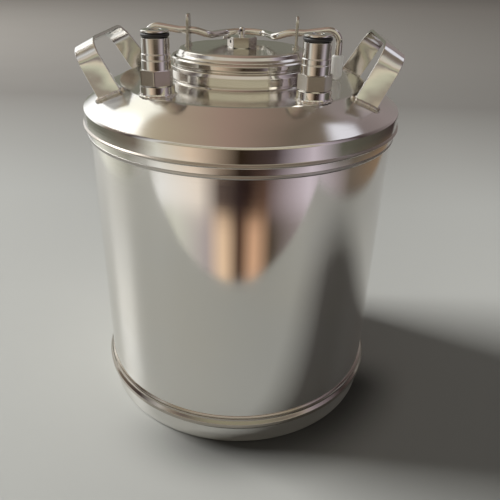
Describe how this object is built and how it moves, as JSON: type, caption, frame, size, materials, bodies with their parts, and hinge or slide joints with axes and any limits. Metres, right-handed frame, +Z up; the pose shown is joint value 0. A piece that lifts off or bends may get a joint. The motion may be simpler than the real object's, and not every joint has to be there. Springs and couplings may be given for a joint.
{
  "type": "pressure keg",
  "caption": "Small stainless pressure keg with an oval mouth, a wire-bail lid with relief valve, connector posts, strap handles and a foot ring.",
  "frame": {"origin": "centre of the vessel's footprint on the floor", "axes": "+Z up along the vessel; -Y towards the side with the two posts; X along the line of the bail's feet"},
  "size_m": [0.2278, 0.2278, 0.2918],
  "materials": {
    "polished_steel": "bright polished with faint drawing lines",
    "inner_steel": "2B mill finish",
    "weld_steel": "pickled weld",
    "strap_steel": "bright polished strap",
    "turned_steel": "turned and polished",
    "tube_steel": "drawn tube",
    "wire_steel": "bright drawn wire",
    "spring_steel": "spring wire",
    "black_rubber": "moulded seal rubber",
    "cap_plastic": "milky translucent cap"
  },
  "bodies": {
    "vessel": {"body_shell": "polished_steel", "top_dome": "polished_steel", "top_seam_bead": "weld_steel", "bottom_seam_bead": "weld_steel", "bottom_dome": "inner_steel", "foot_ring": "polished_steel", "neck_collar": "polished_steel", "gas_port_boss": "turned_steel", "liquid_port_boss": "turned_steel", "handle_left": "strap_steel", "handle_right": "strap_steel", "handle_left_welds": "weld_steel", "handle_right_welds": "weld_steel", "gas_post": "turned_steel", "liquid_post": "turned_steel", "gas_post_oring": "black_rubber", "liquid_post_oring": "black_rubber", "gas_dip_tube": "tube_steel", "liquid_dip_tube": "tube_steel", "gas_tube_oring": "black_rubber", "liquid_tube_oring": "black_rubber", "gas_poppet_spring": "spring_steel", "liquid_poppet_spring": "spring_steel"},
    "gas_poppet": {"gas_poppet": "turned_steel", "gas_poppet_seal": "black_rubber"},
    "liquid_poppet": {"liquid_poppet": "turned_steel", "liquid_poppet_seal": "black_rubber"},
    "lid": {"lid": "polished_steel", "lid_oring": "black_rubber", "lid_brackets": "strap_steel", "lid_bracket_welds": "weld_steel", "prv_body": "turned_steel", "prv_gasket": "black_rubber", "prv_nut": "turned_steel", "prv_seat": "turned_steel", "prv_spring": "spring_steel"},
    "bail": {"bail_wire": "wire_steel", "bail_foot_caps": "cap_plastic"},
    "prv_stem": {"prv_stem": "turned_steel", "prv_seal": "black_rubber"},
    "prv_pull_ring": {"prv_pull_ring": "wire_steel"}
  },
  "joints": [
    {"name": "bail_fold", "type": "hinge", "parent": "lid", "child": "bail", "pos_m": [0, 0, 0.281], "axis": [1, 0, 0], "range_deg": [0, 100]},
    {"name": "lid_drop", "type": "slide", "parent": "vessel", "child": "lid", "axis": [0, 0, -1], "range_m": [0, 0.00698]},
    {"name": "gas_poppet_press", "type": "slide", "parent": "vessel", "child": "gas_poppet", "axis": [0, 0, -1], "range_m": [0, 0.003], "deforming": ["gas_poppet_spring"]},
    {"name": "liquid_poppet_press", "type": "slide", "parent": "vessel", "child": "liquid_poppet", "axis": [0, 0, -1], "range_m": [0, 0.003], "deforming": ["liquid_poppet_spring"]},
    {"name": "prv_lift", "type": "slide", "parent": "lid", "child": "prv_stem", "axis": [0, 0, 1], "range_m": [0, 0.003], "deforming": ["prv_spring"]},
    {"name": "pull_ring_swing", "type": "hinge", "parent": "prv_stem", "child": "prv_pull_ring", "pos_m": [0, 0, 0.2818], "axis": [0.5, 0.866, 0], "range_deg": [0, 115]}
  ],
  "couplings": [
    {"joint": "bail_fold", "follows": "lid_drop", "rad_per_m": 250}
  ]
}
